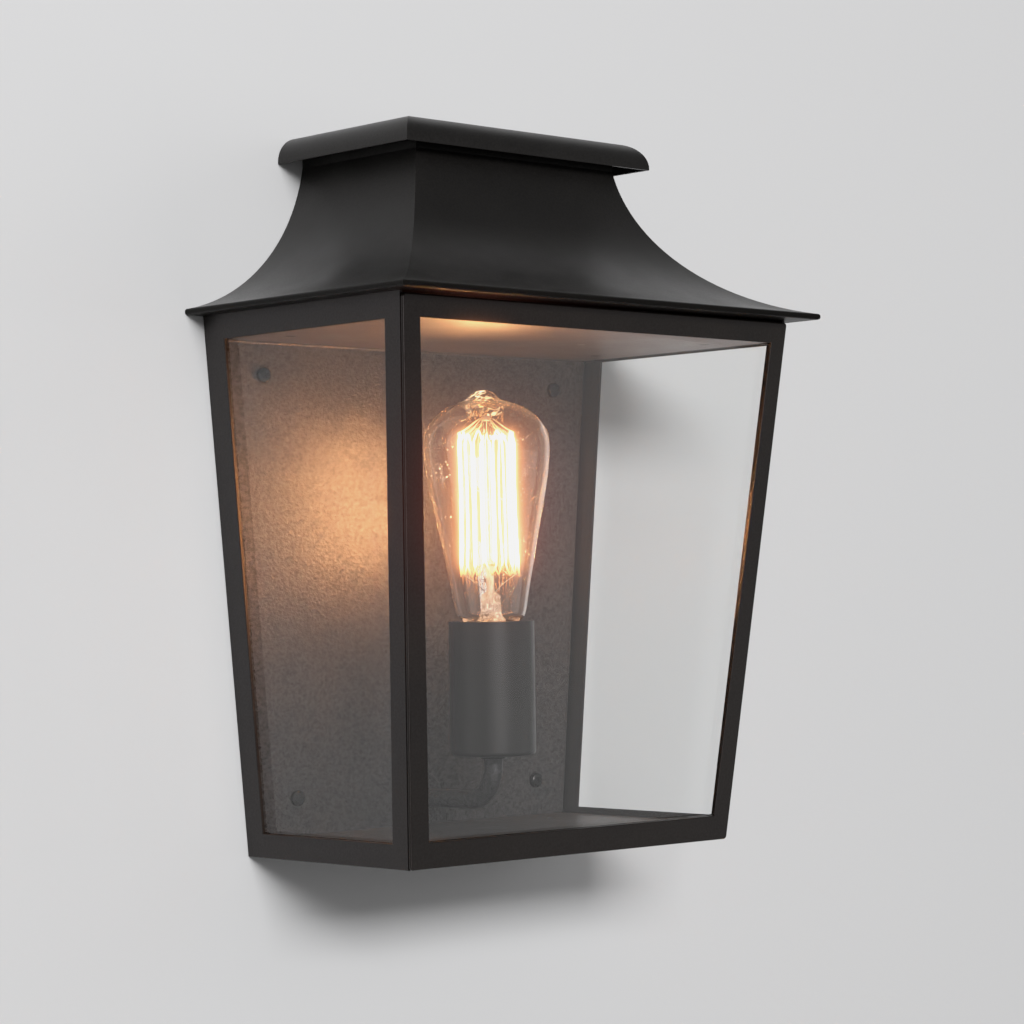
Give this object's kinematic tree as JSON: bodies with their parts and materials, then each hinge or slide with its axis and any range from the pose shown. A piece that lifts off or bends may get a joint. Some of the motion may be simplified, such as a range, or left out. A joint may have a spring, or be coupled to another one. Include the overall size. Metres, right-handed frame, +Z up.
{
  "type": "outdoor wall lantern",
  "caption": "Tapered glazed wall lantern with a bell-curved hip roof, a hinged glass door, a screwed back panel and an upright screw-in lamp on a bent arm.",
  "frame": {"origin": "centre of the rectangle of wall fixing holes, on the wall plane (the wall bracket's rear face)", "axes": "+X right as one faces the wall, +Y into the wall, +Z up; the lantern stands out from the wall towards -Y"},
  "size_m": [0.285, 0.1622, 0.36],
  "materials": {
    "black_coat": "satin black powder coat, fine orange peel",
    "panel_coat": "dark grey textured powder coat",
    "window_glass": "clear float glass",
    "lamp_glass": "clear glass, faint amber tint",
    "stem_glass": "clear glass tube",
    "zinc": "bright zinc plated",
    "black_steel": "black plated steel",
    "nickel": "nickel plated",
    "brass": "bright brass",
    "tungsten": "glowing tungsten wire",
    "porcelain": "glazed white porcelain",
    "insulator": "black vitreous glass",
    "grommet_rubber": "matte black",
    "block_plastic": "off-white moulded",
    "live_brown": "brown insulation",
    "neutral_blue": "blue insulation",
    "earth_green": "green and yellow insulation",
    "magnet": "nickel plated magnet"
  },
  "bodies": {
    "lantern": {"left_side_frame": "black_coat", "right_side_frame": "black_coat", "left_glazing_bead": "black_coat", "right_glazing_bead": "black_coat", "roof_base": "black_coat", "roof_shell": "black_coat", "roof_back": "black_coat", "roof_cap": "black_coat", "hinge_body_leaves": "black_coat", "magnet_holder": "black_coat", "back_panel": "panel_coat", "floor_plate": "panel_coat", "ceiling_plate": "panel_coat", "lamp_arm": "panel_coat", "arm_rose": "panel_coat", "lampholder_cover": "panel_coat", "holder_collar": "panel_coat", "left_glass": "window_glass", "right_glass": "window_glass", "wall_bracket": "zinc", "bracket_nuts": "zinc", "left_bead_screws": "zinc", "right_bead_screws": "zinc", "ceiling_posts": "zinc", "post_nuts": "zinc", "cap_studs": "zinc", "cap_nuts": "zinc", "earth_stud": "zinc", "earth_nut": "zinc", "holder_nut": "zinc", "hinge_pins": "zinc", "terminal_screws": "zinc", "arm_screws": "black_steel", "ceiling_screws": "black_steel", "panel_screws": "nickel", "thread_shell": "brass", "centre_contact": "brass", "lampholder_insert": "porcelain", "cable_grommet": "grommet_rubber", "terminal_block": "block_plastic", "live_wire": "live_brown", "neutral_wire": "neutral_blue", "earth_wire": "earth_green", "catch_magnet": "magnet"},
    "door": {"door_frame": "black_coat", "door_glass": "window_glass", "door_glazing_bead": "black_coat", "door_bead_screws": "zinc", "hinge_door_leaves": "black_coat"},
    "bulb_carriage": {"bulb_contact": "brass"},
    "bulb": {"bulb_glass": "lamp_glass", "bulb_cap": "nickel", "bulb_insulator": "insulator", "bulb_stem": "stem_glass", "filament": "tungsten", "filament_supports": "nickel", "bulb_leads": "nickel"}
  },
  "joints": [
    {"name": "door_hinge", "type": "hinge", "parent": "lantern", "child": "door", "pos_m": [0.12198, -0.1289, -0.00257], "axis": [0.0883, -0.1019, 0.9909], "range_deg": [0, 110]},
    {"name": "bulb_lift", "type": "slide", "parent": "lantern", "child": "bulb_carriage", "axis": [0, 0, 1], "range_m": [0, 0.0182]},
    {"name": "bulb_turn", "type": "hinge", "parent": "bulb_carriage", "child": "bulb", "pos_m": [0, -0.06275, -0.033], "axis": [0, 0, 1], "range_deg": [0, 1800]}
  ],
  "couplings": [
    {"joint": "bulb_lift", "follows": "bulb_turn", "m_per_rad": 0.00057757}
  ]
}
